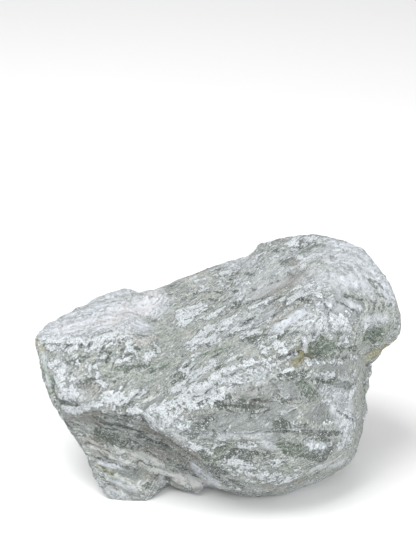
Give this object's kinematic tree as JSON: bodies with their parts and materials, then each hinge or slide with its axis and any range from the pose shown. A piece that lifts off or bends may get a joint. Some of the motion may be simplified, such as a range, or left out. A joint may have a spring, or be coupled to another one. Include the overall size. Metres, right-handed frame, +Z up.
{
  "type": "raw soapstone block",
  "caption": "Rough lump of pale grey-green soapstone, longer than it is high, with a raised domed end, split ledges, an undercut foot and a flat resting face.",
  "frame": {"origin": "under the middle of the block, on the surface that it rests on", "axes": "+X along the block towards its high domed end, +Y towards its back, +Z up"},
  "size_m": [0.1503, 0.1004, 0.094],
  "materials": {
    "soapstone": "rough split stone, dull to slightly greasy, powdered white where the talc is bruised"
  },
  "bodies": {
    "root": {"soapstone_block": "soapstone"}
  },
  "joints": []
}
